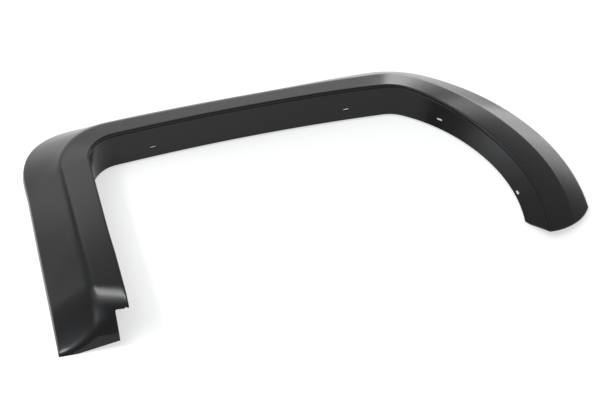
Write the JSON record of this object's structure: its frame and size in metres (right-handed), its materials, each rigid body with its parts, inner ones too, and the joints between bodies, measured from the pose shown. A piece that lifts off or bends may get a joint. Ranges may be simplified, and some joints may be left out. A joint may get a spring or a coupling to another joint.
{
  "type": "wheel arch trim",
  "caption": "One-piece moulded plastic wheel arch trim with a straight leg, a flat crown and a curved tapering leg, a flange into the wheel opening and fixing slots.",
  "frame": {"origin": "on the seat plane, under the middle of the trim's outline", "axes": "+X along the crown from the straight leg to the curved leg, +Y up the arch, +Z outboard, up as the trim lies face up on its rim"},
  "size_m": [1.1129, 0.6218, 0.0982],
  "materials": {
    "satin_black_plastic": "satin black moulded plastic with a smooth outer skin"
  },
  "bodies": {
    "root": {"arch_trim": "satin_black_plastic"}
  },
  "joints": []
}
